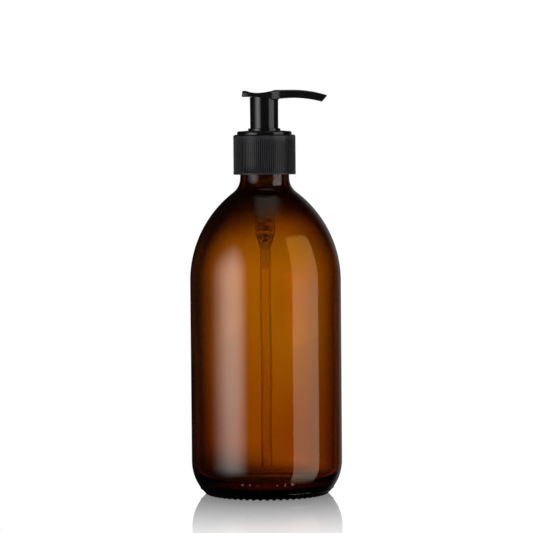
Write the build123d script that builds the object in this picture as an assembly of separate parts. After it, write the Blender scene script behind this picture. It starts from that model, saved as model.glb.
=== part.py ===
"""Pump soap dispenser: an amber glass bottle with a screw-on, spring-returned pump.

Millimetres, +Z up. The origin is on the bottle's axis, on the plane that it stands on,
and the spout points along +X. Radii grow from the stem outwards: the stem sets the head,
the head sets the lock collar, the collar sets the pump housing, the housing sets the
bottle's neck and the neck sets the closure. Heights are taken from the bottle's rim.
"""

import os
from math import acos, asin, atan2, cos, degrees, pi, radians, sin, sqrt

from build123d import *

# Bottle
body_diameter = 75.5
body_wall = 2.6
bottle_height = 176.0
neck_wall = 2.5
neck_length = 17.7
shoulder_radius = 56.0
neck_fillet_radius = 8.6
heel_radius = 22.3
heel_inset = 8.05
foot_radius = 2.0
foot_ring_width = 4.2
punt_depth = 3.2
floor_height = 6.2
floor_dome = 1.6
inner_heel_radius = 13.0
rim_round = 0.7

# Stem and head
stem_diameter = 7.0
stem_bore = 4.0
stroke = 14.0
socket_wall = 1.2
socket_depth = 7.5
shroud_space = 1.4
shroud_wall = 1.0
shroud_draft = 0.08
shroud_entry = 2.2
head_rest_gap = 1.1
head_roof_drop = 1.2
head_thickness = 4.0
spout_reach = 31.7
spout_crest_reach = 14.0
spout_droop = 2.9
spout_tip_slant = 2.7
spout_tip_height = 3.1
spout_root_width = 9.2
spout_tip_width = 6.2
spout_bore = 2.4
tail_reach = 11.2
tail_width = 11.0
tail_thickness = 2.9
tail_drop = 0.4
pad_overhang = 0.35
saddle_depth = 1.5
saddle_offset = 3.7
saddle_back_radius = 13.0
saddle_front_radius = 30.0
spout_flare = 1.3
edge_round = 0.45
crown_round = 1.3

# Lock collar
shroud_play = 0.45
well_wall = 0.8
well_floor = 1.2
well_floor_gap = 0.6
guide_play = 0.15
boss_wall = 0.55
boss_height = 1.1
collar_height = 2.0
collar_slope = 0.4
collar_edge_round = 1.0
collar_inset = 1.9
collar_skirt_wall = 0.9
collar_slot_share = 0.4
snap_bead = 0.25

# Housing, gasket and dip tube
housing_wall = 0.9
neck_play = 0.5
flange_thickness = 1.3
flange_inset = 1.2
gasket_thickness = 1.2
gasket_play = 0.2
cylinder_bore = 10.9
cylinder_wall = 1.1
cylinder_margin = 0.5
throat_length = 3.4
vent_diameter = 1.0
inlet_bore = 2.8
nose_length = 4.2
spigot_diameter = 3.9
spigot_bore = 2.4
spigot_length = 10.0
dip_tube_wall = 0.8
dip_tube_floor_gap = 5.0
dip_tube_tip_cut = 1.6

# Piston, valve and spring
shoulder_step = 1.0
shoulder_thickness = 1.2
valve_slip = 0.8
piston_length = 5.6
piston_lip = 1.3
piston_waist = 0.7
piston_guide_length = 1.4
piston_passage = 0.6
plug_flange_step = 0.9
plug_flange_thickness = 1.5
plug_pin_length = 2.0
plug_pin_play = 0.2
plug_shank_length = 2.2
port_diameter = 1.6
spring_wire = 0.8
spring_diameter = 7.2
spring_turns = 8
spring_end_pitch = 1.3
spring_pressed_spare = 2.6
ball_diameter = 4.76
ball_lift = 1.5
ball_lip = 0.18
ball_lip_height = 0.6

# Closure
thread_room = 1.8
closure_wall = 1.15
closure_height = 19.9
closure_deck = 1.6
closure_edge_round = 1.1
closure_band = 0.8
rib_count = 90
rib_depth = 0.35
rib_crest_share = 0.3
rib_valley_share = 0.3
hole_play = 0.25

# Clearances that several fits share
running_clearance = 0.03
seat_clearance = 0.05
stop_clearance = 0.1
spring_clearance = 0.3
ball_clearance = 0.3

# Radii, from the stem outwards
stem_radius = stem_diameter / 2
socket_radius = stem_radius + socket_wall
shroud_inner_radius = socket_radius + shroud_space
shroud_radius = shroud_inner_radius + shroud_wall
well_radius = shroud_radius + shroud_play
boss_radius = well_radius + boss_wall
well_outer_radius = well_radius + well_wall
housing_inner_radius = well_outer_radius + seat_clearance
housing_radius = housing_inner_radius + housing_wall
neck_bore_radius = housing_radius + neck_play
neck_radius = neck_bore_radius + neck_wall
closure_bore_radius = neck_radius + thread_room
closure_radius = closure_bore_radius + closure_wall + rib_depth
flange_radius = closure_bore_radius - flange_inset
skirt_inner_radius = housing_radius + seat_clearance
skirt_radius = skirt_inner_radius + collar_skirt_wall
collar_radius = closure_radius - collar_inset
cylinder_radius = cylinder_bore / 2
cylinder_outer_radius = cylinder_radius + cylinder_wall
chamber_radius = spring_diameter / 2 + spring_clearance
chamber_outer_radius = chamber_radius + cylinder_wall
ball_radius = ball_diameter / 2
ball_lip_radius = ball_radius - ball_lip
ball_cage_radius = ball_radius + ball_clearance
inlet_radius = inlet_bore / 2
spigot_radius = spigot_diameter / 2
dip_tube_radius = spigot_radius + dip_tube_wall

# Heights from the rim upwards
flange_bottom = bottle_height + gasket_thickness
flange_top = flange_bottom + flange_thickness
closure_underside = flange_top + seat_clearance
closure_top = closure_underside + closure_deck
closure_bottom = closure_top - closure_height
collar_bottom = closure_top + seat_clearance
collar_top = collar_bottom + collar_height
slot_top = collar_bottom + collar_height * collar_slot_share
housing_top = slot_top - stop_clearance
boss_top = collar_top + boss_height
shroud_bottom = boss_top - shroud_entry
head_bottom = boss_top + stroke + head_rest_gap
head_roof = head_bottom - head_roof_drop
spout_crest = head_bottom + head_thickness

# Heights from the lock collar down to the dip tube
well_floor_top = shroud_bottom - stroke - well_floor_gap
well_floor_bottom = well_floor_top - well_floor
shoulder_top = well_floor_bottom - stop_clearance
shoulder_bottom = shoulder_top - shoulder_thickness
piston_top = shoulder_bottom - valve_slip
piston_bottom = piston_top - piston_length
plug_flange_top = piston_bottom - seat_clearance
plug_flange_bottom = plug_flange_top - plug_flange_thickness
cylinder_bottom = piston_bottom - stroke - cylinder_margin
throat_bottom = cylinder_bottom - throat_length
spring_pressed = (spring_turns + 1) * spring_wire + spring_pressed_spare
spring_seat = plug_flange_bottom - stroke - spring_pressed
ball_lip_bottom = spring_seat - ball_lip_height
ball_highest = ball_lip_bottom - sqrt(ball_radius**2 - ball_lip_radius**2)
ball_rest = ball_highest - ball_lift
ball_seat_bottom = ball_rest - seat_clearance - ball_radius * sqrt(2) + inlet_radius
ball_seat_top = ball_seat_bottom + ball_cage_radius - inlet_radius
spigot_top = ball_seat_bottom - nose_length
spigot_bottom = spigot_top - spigot_length
dip_tube_bottom = floor_height + floor_dome + dip_tube_floor_gap


def turned(*outline):
    """A solid of revolution about Z, from a closed outline of (radius, height) points."""
    return revolve(Plane.XZ * make_face(Polyline(*outline, close=True)), Axis.Z)


def ring(inner_radius, outer_radius, bottom, top):
    """A plain ring about Z."""
    return turned(
        (inner_radius, bottom), (outer_radius, bottom), (outer_radius, top), (inner_radius, top)
    )


def arc(centre, radius, start_angle, end_angle):
    """A circular arc in an outline, with its angles in degrees from the outline's first axis."""
    middle_angle = (start_angle + end_angle) / 2
    points = [
        (centre[0] + radius * cos(radians(angle)), centre[1] + radius * sin(radians(angle)))
        for angle in (start_angle, middle_angle, end_angle)
    ]
    return ThreePointArc(*points)


def turned_about_axis(curves):
    """A solid from curves that run outwards and upwards from the axis, closed along the axis."""
    edges = [curves[0]]
    for curve, following in zip(curves, curves[1:]):
        if (following @ 0 - curve @ 1).length > 1e-6:
            edges.append(Line(curve @ 1, following @ 0))
        edges.append(following)
    start = curves[0] @ 0
    end = curves[-1] @ 1
    edges.append(Line(end, (0, end.Y)))
    edges.append(Line((0, end.Y), start))
    return revolve(Plane.XZ * make_face(edges), Axis.Z)


def rounded(solid, radius, height, size):
    """The solid with its circular edge of this radius, at this height, rounded."""
    edges = [
        edge
        for edge in solid.edges().filter_by(GeomType.CIRCLE)
        if abs(edge.radius - radius) < 1e-4 and abs(edge.arc_center.Z - height) < 1e-4
    ]
    return fillet(edges, size)


def shoulder_and_neck(body_radius, throat_radius, shoulder, neck_fillet, neck_foot):
    """A convex shoulder arc that leaves the body and runs into a concave fillet at the neck."""
    shoulder_x = body_radius - shoulder
    fillet_x = throat_radius + neck_fillet
    rise = sqrt((shoulder + neck_fillet) ** 2 - (fillet_x - shoulder_x) ** 2)
    turn = degrees(atan2(rise, fillet_x - shoulder_x))
    return [
        arc((shoulder_x, neck_foot - rise), shoulder, 0, turn),
        arc((fillet_x, neck_foot), neck_fillet, 180 + turn, 180),
    ]


def make_bottle():
    """The glass bottle: even wall, thick heel, pushed-up base and a neck with a flat rim."""
    outer_radius = body_diameter / 2
    inner_radius = outer_radius - body_wall
    neck_foot = bottle_height - neck_length
    rim_centre = bottle_height - rim_round

    foot_outer = outer_radius - heel_inset
    foot_inner = foot_outer - foot_ring_width
    heel_x = outer_radius - heel_radius
    heel_rise = sqrt((heel_radius - foot_radius) ** 2 - (foot_outer - heel_x) ** 2)
    heel_turn = degrees(asin(heel_rise / (heel_radius - foot_radius)))
    punt_radius = (foot_inner**2 + punt_depth**2) / (2 * punt_depth)
    punt_turn = degrees(asin(foot_inner / punt_radius))
    outside = [
        arc((0, punt_depth - punt_radius), punt_radius, 90, 90 - punt_turn),
        arc((foot_outer, foot_radius), foot_radius, -90, -heel_turn),
        arc((heel_x, foot_radius + heel_rise), heel_radius, -heel_turn, 0),
        *shoulder_and_neck(
            outer_radius, neck_radius, shoulder_radius, neck_fillet_radius, neck_foot
        ),
        arc((neck_radius - rim_round, rim_centre), rim_round, 0, 90),
    ]

    floor_edge = inner_radius - inner_heel_radius
    dome_radius = (floor_edge**2 + floor_dome**2) / (2 * floor_dome)
    dome_turn = degrees(asin(floor_edge / dome_radius))
    inside = [
        arc((0, floor_height + floor_dome - dome_radius), dome_radius, 90, 90 - dome_turn),
        arc((floor_edge, floor_height + inner_heel_radius), inner_heel_radius, -90, 0),
        *shoulder_and_neck(
            inner_radius,
            neck_bore_radius,
            shoulder_radius - body_wall,
            neck_fillet_radius + neck_wall,
            neck_foot,
        ),
        arc((neck_bore_radius + rim_round, rim_centre), rim_round, 180, 90),
    ]
    return turned_about_axis(outside) - turned_about_axis(inside)


def make_closure():
    """The ribbed screw cap, with a hole in its deck for the lock collar."""
    hole_radius = skirt_radius + hole_play
    cap = turned(
        (closure_bore_radius, closure_bottom),
        (closure_radius, closure_bottom),
        (closure_radius, closure_top),
        (hole_radius, closure_top),
        (hole_radius, closure_underside),
        (closure_bore_radius, closure_underside),
    )
    cap = rounded(cap, closure_radius, closure_top, closure_edge_round)

    pitch = 2 * pi / rib_count
    crest = rib_crest_share * pitch / 2
    valley = rib_valley_share * pitch / 2
    crest_radius = closure_radius + rib_depth
    valley_radius = closure_radius - rib_depth
    outline = []
    for index in range(rib_count):
        middle = index * pitch
        corners = [
            (crest_radius, middle - crest),
            (crest_radius, middle + crest),
            (valley_radius, middle + pitch / 2 - valley),
            (valley_radius, middle + pitch / 2 + valley),
        ]
        outline += [(radius * cos(angle), radius * sin(angle)) for radius, angle in corners]
    grooves = Circle(crest_radius + rib_depth) - make_face(Polyline(*outline, close=True))
    band_top = closure_bottom + closure_band
    return cap - Pos(0, 0, band_top) * extrude(grooves, closure_height)


def make_lock_collar():
    """The collar that traps the closure, guides the head in its well and stops the stem."""
    guide_radius = stem_radius + guide_play
    skirt_bottom = flange_top + stop_clearance
    bead = (skirt_bottom + slot_top) / 2
    collar = turned(
        (guide_radius, well_floor_bottom),
        (well_outer_radius, well_floor_bottom),
        (well_outer_radius, slot_top),
        (skirt_inner_radius, slot_top),
        (skirt_inner_radius, bead + snap_bead),
        (skirt_inner_radius + snap_bead, bead),
        (skirt_inner_radius, bead - snap_bead),
        (skirt_inner_radius, skirt_bottom),
        (skirt_radius, skirt_bottom),
        (skirt_radius, collar_bottom),
        (collar_radius, collar_bottom),
        (collar_radius, collar_top - collar_slope),
        (boss_radius, collar_top),
        (boss_radius, boss_top),
        (well_radius, boss_top),
        (well_radius, well_floor_top),
        (guide_radius, well_floor_top),
    )
    edge_size = min(collar_edge_round, 0.7 * (collar_height - collar_slope))
    collar = rounded(collar, collar_radius, collar_top - collar_slope, edge_size)
    return rounded(collar, boss_radius, boss_top, boss_wall / 2)


def make_gasket():
    """The flat washer between the bottle's rim and the pump's flange."""
    return ring(housing_radius + gasket_play, flange_radius, bottle_height, flange_bottom)


def make_housing():
    """The pump body: flange, collar seat, piston cylinder, spring chamber, ball seat, spigot."""
    bead = (flange_top + stop_clearance + slot_top) / 2
    nose_radius = (spigot_radius + dip_tube_radius) / 2
    housing = turned(
        (spigot_bore / 2, spigot_bottom),
        (spigot_radius, spigot_bottom),
        (spigot_radius, spigot_top),
        (nose_radius, spigot_top),
        (chamber_outer_radius, spring_seat - ball_lip_height),
        (chamber_outer_radius, throat_bottom),
        (cylinder_outer_radius, cylinder_bottom),
        (cylinder_outer_radius, well_floor_bottom - cylinder_wall),
        (housing_radius, well_floor_bottom - cylinder_wall / 2),
        (housing_radius, flange_bottom),
        (flange_radius, flange_bottom),
        (flange_radius, flange_top),
        (housing_radius, flange_top),
        (housing_radius, bead - snap_bead),
        (housing_radius + snap_bead, bead),
        (housing_radius, bead + snap_bead),
        (housing_radius, housing_top),
        (housing_inner_radius, housing_top),
        (housing_inner_radius, well_floor_bottom),
        (cylinder_radius, well_floor_bottom),
        (cylinder_radius, cylinder_bottom),
        (chamber_radius, throat_bottom),
        (chamber_radius, spring_seat),
        (ball_lip_radius, spring_seat),
        (ball_lip_radius, ball_lip_bottom),
        (ball_cage_radius, ball_lip_bottom),
        (ball_cage_radius, ball_seat_top),
        (inlet_radius, ball_seat_bottom),
        (inlet_radius, spigot_top),
        (spigot_bore / 2, spigot_top),
    )
    vent_height = piston_top + vent_diameter / 2 + stop_clearance
    vent = Pos(0, cylinder_outer_radius, vent_height) * Rot(X=90) * Cylinder(
        vent_diameter / 2, 4 * cylinder_wall
    )
    return housing - vent


def make_dip_tube():
    """The tube that reaches down to the bottle's floor, cut at a slant at its lower end."""
    tube = ring(spigot_radius, dip_tube_radius, dip_tube_bottom, spigot_top)
    side = 2 * dip_tube_radius
    slant = make_face(
        Polyline(
            (-side / 2, dip_tube_bottom),
            (side / 2, dip_tube_bottom + dip_tube_tip_cut),
            (side / 2, dip_tube_bottom - side),
            (-side / 2, dip_tube_bottom - side),
            close=True,
        )
    )
    return tube - extrude(Plane.XZ * slant, side, both=True)


def make_inlet_ball():
    """The steel ball that closes the inlet on the downstroke."""
    return Pos(0, 0, ball_rest) * Sphere(ball_radius)


def make_piston():
    """The piston: two sealing lips on the cylinder, a guide on the stem and a passage under it."""
    lip_radius = cylinder_radius - seat_clearance
    waist_radius = lip_radius - piston_waist
    guide_radius = stem_radius + running_clearance
    passage_radius = stem_radius + piston_passage
    lip_slope = piston_lip / 2
    return turned(
        (passage_radius, piston_bottom),
        (lip_radius, piston_bottom),
        (lip_radius, piston_bottom + piston_lip),
        (waist_radius, piston_bottom + piston_lip + lip_slope),
        (waist_radius, piston_top - piston_lip - lip_slope),
        (lip_radius, piston_top - piston_lip),
        (lip_radius, piston_top),
        (guide_radius, piston_top),
        (guide_radius, piston_top - piston_guide_length),
        (passage_radius, piston_top - piston_guide_length - piston_passage),
    )


def make_stem_plug():
    """The plug in the stem's foot: valve flange under the piston and a pin inside the spring."""
    pin_radius = spring_diameter / 2 - spring_wire - plug_pin_play
    flange = max(stem_radius, spring_diameter / 2) + plug_flange_step
    return turned(
        (0, plug_flange_bottom - plug_pin_length),
        (pin_radius - plug_pin_play, plug_flange_bottom - plug_pin_length),
        (pin_radius, plug_flange_bottom - plug_pin_length / 2),
        (pin_radius, plug_flange_bottom),
        (flange, plug_flange_bottom),
        (flange, plug_flange_top),
        (stem_bore / 2, plug_flange_top),
        (stem_bore / 2, plug_flange_top + plug_shank_length),
        (0, plug_flange_top + plug_shank_length),
    )


def make_stem():
    """The hollow stem, with the shoulder that stops it and two ports above the plug."""
    stem = ring(stem_bore / 2, stem_radius, plug_flange_top, head_roof)
    shoulder = ring(stem_bore / 2, stem_radius + shoulder_step, shoulder_bottom, shoulder_top)
    port_height = plug_flange_top + plug_shank_length + port_diameter / 2
    ports = Pos(0, 0, port_height) * Rot(Y=90) * Cylinder(port_diameter / 2, 4 * stem_radius)
    return stem + shoulder - ports


def spring_path():
    """The spring's centre line: closed end turns and open turns, as two arcs for each half turn."""
    radius = (spring_diameter - spring_wire) / 2
    bottom = spring_seat + spring_wire / 2 + seat_clearance
    top = plug_flange_bottom - spring_wire / 2 - seat_clearance
    open_pitch = (top - bottom - 2 * spring_end_pitch) / (spring_turns - 2)
    half_turns = 2 * spring_turns
    heights = [bottom]
    for index in range(half_turns):
        closed = index < 2 or index >= half_turns - 2
        heights.append(heights[-1] + (spring_end_pitch if closed else open_pitch) / 2)

    edges = []
    for index in range(half_turns):
        side = 1 if index % 2 == 0 else -1
        start = Vector(side * radius, 0, heights[index])
        end = Vector(-side * radius, 0, heights[index + 1])
        slopes = []
        for node in (index, index + 1):
            low = max(node - 1, 0)
            high = min(node + 1, half_turns)
            slopes.append((heights[high] - heights[low]) / (high - low) / (pi * radius))
        start_tangent = Vector(0, side, slopes[0]).normalized()
        end_tangent = Vector(0, -side, slopes[1]).normalized()
        chord = end - start
        both = start_tangent + end_tangent
        square = both.dot(both) - 4
        linear = -2 * chord.dot(both)
        reach = (-linear - sqrt(linear**2 - 4 * square * chord.dot(chord))) / (2 * square)
        middle = (start + start_tangent * reach + end - end_tangent * reach) * 0.5
        edges.append(Edge.make_tangent_arc(start, start_tangent, middle))
        edges.append(Edge.make_tangent_arc(middle, edges[-1] % 1, end))
    return Wire(edges)


def spring_self_gap(path):
    """The least space between neighbouring turns of the wire."""
    steps = 60 * spring_turns
    points = [path @ (step / steps) for step in range(steps + 1)]
    far = steps // (2 * spring_turns)
    least = min(
        (points[i] - points[j]).length
        for i in range(steps + 1)
        for j in range(i + far, steps + 1)
    )
    return least - spring_wire


def make_spring():
    """The return spring, one unbroken wire."""
    path = spring_path()
    print("spring: least gap to itself %.3f mm" % spring_self_gap(path))
    section = Plane(origin=path @ 0, z_dir=path % 0) * Circle(spring_wire / 2)
    spring = sweep(section, path=path)
    share = spring.volume / (pi * spring_wire**2 / 4 * path.length)
    print("spring: volume is %.4f of section times length" % share)
    return spring


def spout_arc_radius():
    """The radius of the spout's crowned top, from its crest to its tip."""
    run = spout_reach - spout_crest_reach
    return (run**2 + spout_droop**2) / (2 * spout_droop)


def spout_arc_height(distance, depth=0.0):
    """Height of the spout's top, or of a line at some depth below it, at a distance from Z."""
    radius = spout_arc_radius()
    offset = distance - spout_crest_reach
    return spout_crest - radius + sqrt((radius - depth) ** 2 - offset**2)


def rounded_corners(outline, corners, size):
    """The flat outline with these corners rounded."""
    vertices = [
        vertex
        for vertex in outline.vertices()
        if any(abs(vertex.X - x) + abs(vertex.Y - y) < 1e-4 for x, y in corners)
    ]
    return fillet(vertices, size)


def make_head_plate():
    """The head's plate: a crowned bar that droops to the spout's tip, scooped for a finger."""
    tail_top = spout_crest - tail_drop
    tail_bottom = tail_top - tail_thickness
    tail_end = (edge_round - tail_reach, tail_top)
    tail_root = (-shroud_inner_radius, tail_bottom)
    tail_tip = (-tail_reach, tail_bottom)
    crest = (spout_crest_reach, spout_crest)
    back_middle = ((tail_end[0] + crest[0]) / 2, spout_crest - tail_drop / 4)
    front_middle_x = (spout_crest_reach + spout_reach) / 2
    front_middle = (front_middle_x, spout_arc_height(front_middle_x))
    tip_top = (spout_reach, spout_crest - spout_droop)
    tip_bottom = (spout_reach - spout_tip_slant, tip_top[1] - spout_tip_height)
    spout_root = (shroud_inner_radius, head_bottom - head_roof_drop / 2)
    outline = make_face(
        [
            Line(spout_root, tail_root),
            Line(tail_root, tail_tip),
            Line(tail_tip, tail_end),
            ThreePointArc(tail_end, back_middle, crest),
            ThreePointArc(crest, front_middle, tip_top),
            Line(tip_top, tip_bottom),
            ThreePointArc(tip_bottom, (spout_crest_reach, head_bottom), spout_root),
        ]
    )
    side = rounded_corners(outline, (tail_tip, tip_bottom), edge_round)

    pad = (0, shroud_radius + pad_overhang)
    tail_corner = (-tail_reach, tail_width / 2)
    spout_start = (shroud_radius * 1.5, spout_root_width / 2)
    spout_end = (spout_reach, spout_tip_width / 2)
    spout_way = (spout_end[0] - spout_start[0], spout_end[1] - spout_start[1])
    half_plan = make_face(
        [
            Line((-tail_reach, 0), tail_corner),
            TangentArc(pad, tail_corner, tangent=(-1, 0)),
            Spline(pad, spout_start, tangents=[(1, 0), spout_way]),
            Line(spout_start, spout_end),
            Line(spout_end, (spout_reach, 0)),
            Line((spout_reach, 0), (-tail_reach, 0)),
        ]
    )
    plan = half_plan + mirror(half_plan, Plane.XZ)
    block = Pos(0, 0, head_bottom - stroke) * extrude(plan, 2 * stroke + head_thickness)
    plate = extrude(Plane.XZ * side, 2 * pad[1], both=True) & block

    crown_edges = [
        edge
        for edge in plate.edges()
        if min(abs(edge.position_at(share).Y) for share in (0, 0.5, 1)) > spout_bore
        and edge.center().Z > spout_crest - spout_droop / 2
        and edge.length > head_thickness + tail_thickness
    ]
    plate = fillet(crown_edges, crown_round)
    end_edges = [
        edge
        for edge in plate.edges().filter_by(Axis.Y)
        if any((edge.center() - Vector(x, 0, z)).length < 1e-4 for x, z in (tail_end, tip_top))
    ]
    plate = fillet(end_edges, edge_round)
    saddle_bottom = spout_crest - saddle_depth
    back_centre = (-saddle_offset, saddle_bottom + saddle_back_radius)
    front_centre = (-saddle_offset, saddle_bottom + saddle_front_radius)
    back_turn = degrees(acos(1 - 2 * saddle_depth / saddle_back_radius))
    front_turn = degrees(acos(1 - 2 * saddle_depth / saddle_front_radius))
    back_curve = arc(back_centre, saddle_back_radius, -90 - back_turn, -90)
    front_curve = arc(front_centre, saddle_front_radius, -90, -90 + front_turn)
    scoop = make_face([back_curve, front_curve, Line(front_curve @ 1, back_curve @ 0)])
    return plate - extrude(Plane.XZ * scoop, 2 * pad[1], both=True), block


def make_actuator():
    """The head: finger saddle, curved spout with its channel, stem socket and outer shroud."""
    plate, block = make_head_plate()
    shroud_top = spout_crest - saddle_depth - head_thickness / 2
    shroud = turned(
        (0, shroud_bottom),
        (shroud_radius - shroud_draft, shroud_bottom),
        (shroud_radius, shroud_top),
        (0, shroud_top),
    )
    flare_top = head_bottom - spout_flare / 8
    flare_profile = make_face(
        [
            arc((shroud_radius + spout_flare, flare_top - spout_flare), spout_flare, 180, 90),
            Line((shroud_radius + spout_flare, flare_top), (shroud_inner_radius, flare_top)),
            Line(
                (shroud_inner_radius, flare_top),
                (shroud_inner_radius, flare_top - spout_flare),
            ),
            Line(
                (shroud_inner_radius, flare_top - spout_flare),
                (shroud_radius, flare_top - spout_flare),
            ),
        ]
    )
    front = Pos(spout_reach, 0, head_bottom) * Box(
        2 * spout_reach - shroud_radius, 4 * shroud_radius, 4 * head_thickness
    )
    flare = revolve(Plane.XZ * flare_profile, Axis.Z) & block & front
    head = plate + shroud + flare

    socket_bottom = head_roof - socket_depth
    well = ring(socket_radius, shroud_inner_radius, socket_bottom, head_roof)
    skirt_space = ring(0, shroud_inner_radius, shroud_bottom - stroke, socket_bottom)
    stem_hole = ring(0, stem_radius, socket_bottom, head_roof)
    channel_depth = head_thickness / 2
    bend = Vector(0, 0, spout_arc_height(0, channel_depth))
    channel_line = ThreePointArc(
        bend,
        (spout_crest_reach, 0, spout_crest - channel_depth),
        (spout_reach + spout_bore, 0, spout_arc_height(spout_reach + spout_bore, channel_depth)),
    )
    channel_start = Plane(origin=channel_line @ 0, z_dir=channel_line % 0)
    channel = sweep(channel_start * Circle(spout_bore / 2), path=channel_line)
    feed = ring(0, spout_bore / 2, head_roof - spout_bore, bend.Z)
    elbow = Pos(bend) * Sphere(spout_bore / 2)
    return head - well - skirt_space - stem_hole - channel - feed - elbow


def main():
    """Builds every piece and writes each one to its own file."""
    pieces = {
        "bottle": make_bottle,
        "closure": make_closure,
        "lock_collar": make_lock_collar,
        "gasket": make_gasket,
        "housing": make_housing,
        "dip_tube": make_dip_tube,
        "inlet_ball": make_inlet_ball,
        "spring": make_spring,
        "piston": make_piston,
        "stem_plug": make_stem_plug,
        "stem": make_stem,
        "actuator": make_actuator,
    }
    os.makedirs("parts", exist_ok=True)
    for name, make in pieces.items():
        export_step(make(), "parts/%s.step" % name)


if __name__ == "__main__":
    main()
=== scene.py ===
"""Looks of an amber glass soap dispenser with a hand pump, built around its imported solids.

Metres. Z is up, the bottle's axis lies on Z, the spout points along +X and the picture is
taken from the -Y side.
"""

import math

import bpy
from bpy.props import FloatProperty, FloatVectorProperty, IntProperty, PointerProperty
from bpy.types import Operator, Panel, PropertyGroup
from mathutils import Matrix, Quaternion, Vector


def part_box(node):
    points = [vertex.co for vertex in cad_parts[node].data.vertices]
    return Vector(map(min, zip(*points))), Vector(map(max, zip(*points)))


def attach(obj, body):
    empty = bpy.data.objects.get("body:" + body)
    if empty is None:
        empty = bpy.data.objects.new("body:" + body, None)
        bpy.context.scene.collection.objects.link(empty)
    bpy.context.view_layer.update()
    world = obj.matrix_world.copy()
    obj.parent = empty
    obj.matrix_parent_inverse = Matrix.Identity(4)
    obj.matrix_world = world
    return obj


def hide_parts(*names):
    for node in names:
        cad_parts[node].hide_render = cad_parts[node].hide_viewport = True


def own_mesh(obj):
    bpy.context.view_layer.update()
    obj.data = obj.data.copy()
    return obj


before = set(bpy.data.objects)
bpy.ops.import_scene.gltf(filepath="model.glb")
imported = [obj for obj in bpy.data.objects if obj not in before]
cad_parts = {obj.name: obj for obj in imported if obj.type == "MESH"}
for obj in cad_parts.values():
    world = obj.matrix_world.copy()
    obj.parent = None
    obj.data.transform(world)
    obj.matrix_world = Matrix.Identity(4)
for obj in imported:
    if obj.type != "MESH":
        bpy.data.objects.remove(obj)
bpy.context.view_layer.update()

bl_info = {
    "name": "Amber Soap Dispenser",
    "version": (1, 0, 0),
    "blender": (4, 5, 0),
    "location": "3D View > Sidebar > Dispenser",
    "description": "Dresses a glass soap dispenser with a hand pump",
    "category": "Object",
}

FULL_TURN = 2.0 * math.pi
AXIS_RADIUS = 1e-7
RISING = (0.0, 1.0)
FALLING = (1.0, 0.0)
WHITE = (1.0, 1.0, 1.0, 1.0)


# Settings


def length(description, default):
    """A length setting in metres."""
    return FloatProperty(
        description=description, default=default, min=0.0, precision=5, unit="LENGTH"
    )


def share(description, default, top=1.0):
    """A plain number setting."""
    return FloatProperty(description=description, default=default, min=0.0, max=top)


def count(description, default, least):
    """A whole number setting."""
    return IntProperty(description=description, default=default, min=least)


def colour(description, default):
    """A colour setting."""
    return FloatVectorProperty(
        description=description, default=default, min=0.0, max=1.0, subtype="COLOR"
    )


def turn(description, degrees):
    """An angle setting, given in degrees."""
    return FloatProperty(description=description, default=math.radians(degrees), subtype="ANGLE")


def labelled(group):
    """Labels each setting of a group with its own name."""
    for name, setting in group.__annotations__.items():
        setting.keywords["name"] = name.replace("_", " ").title()
    return group


@labelled
class BottleSettings(PropertyGroup):
    """Sizes and tint of the glass bottle."""

    wall: length("Glass thickness of the body", 0.0026)
    neck_radius: length("Outside radius of the neck", 0.0123)
    neck_bore: length("Inside radius of the neck", 0.0098)
    neck_length: length("Straight part of the neck up to the rim", 0.0177)
    shoulder_radius: length("Outside arc of the shoulder", 0.056)
    neck_fillet: length("Arc where the shoulder runs into the neck", 0.0086)
    heel_radius: length("Arc where the body turns under", 0.0223)
    heel_inset: length("How far the foot stands in from the body", 0.00805)
    foot_radius: length("Small arc at the foot's outer edge", 0.002)
    foot_width: length("Width of the ring that the bottle stands on", 0.0042)
    punt_depth: length("How far the base is pushed up", 0.0032)
    floor_height: length("Height of the inside floor's edge", 0.0062)
    floor_dome: length("Rise of the inside floor at its middle", 0.0016)
    inner_heel: length("Arc inside the heel", 0.009)
    rim_round: length("Rounding of the rim's edges", 0.0007)
    base_swell: length("Extra thickness towards the base", 0.0007)
    shoulder_swell: length("Extra thickness below the neck", 0.0012)
    ripple: length("Unevenness of the inside wall", 0.00006)
    thread_pitch: length("Rise of the neck's thread in one turn", 0.00423)
    thread_depth: length("Height of the thread on the neck", 0.00118)
    thread_start: length("Height of the thread's lower end", 0.1652)
    thread_turns: share("Turns of thread on the neck", 1.6, 4.0)
    notch_count: count("Notches round the foot ring", 56, 0)
    notch_depth: length("Depth of the foot ring's notches", 0.0008)
    seam_height: length("Height of the two mould seams", 0.00006)
    bead_height: length("Height of the mould line above the foot", 0.00035)
    dot_height: length("Height of the mould dots at the heel", 0.0006)
    tint: colour("Colour that the glass lets through", (0.85, 0.66, 0.0))
    # Painted reflection: the five sheen tints below tint what the glass mirrors, by side and by
    # height
    painted_left_sheen: colour("Tint of what the -X side mirrors", (0.86, 1.0, 0.94))
    painted_right_sheen: colour("Tint of what the +X side mirrors", (1.0, 0.86, 0.6))
    painted_shoulder_sheen: colour("Tint of what the +X shoulder mirrors", (1.0, 0.53, 0.03))
    painted_neck_left_sheen: colour("Tint of what the neck's -X side mirrors", (0.23, 0.22, 0.24))
    painted_neck_right_sheen: colour("Tint of what the neck's +X side mirrors", (1.0, 0.95, 0.95))
    density: share("Strength of the tint, per metre", 1310.0, 10000.0)
    # Painted shade: the four shades below darken the glass's colour on the lower body, the
    # shoulder, the neck and the heel
    body_shade: share("Light that the glass of the body lets by", 0.96)
    shoulder_shade: share("Light that the glass of the shoulder lets by", 0.9)
    neck_shade: share("Light that the glass of the neck lets by", 0.21)
    heel_shade: share("Light that the glass of the heel lets by", 0.4)
    roughness: share("Roughness of the glass surface", 0.03)


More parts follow.
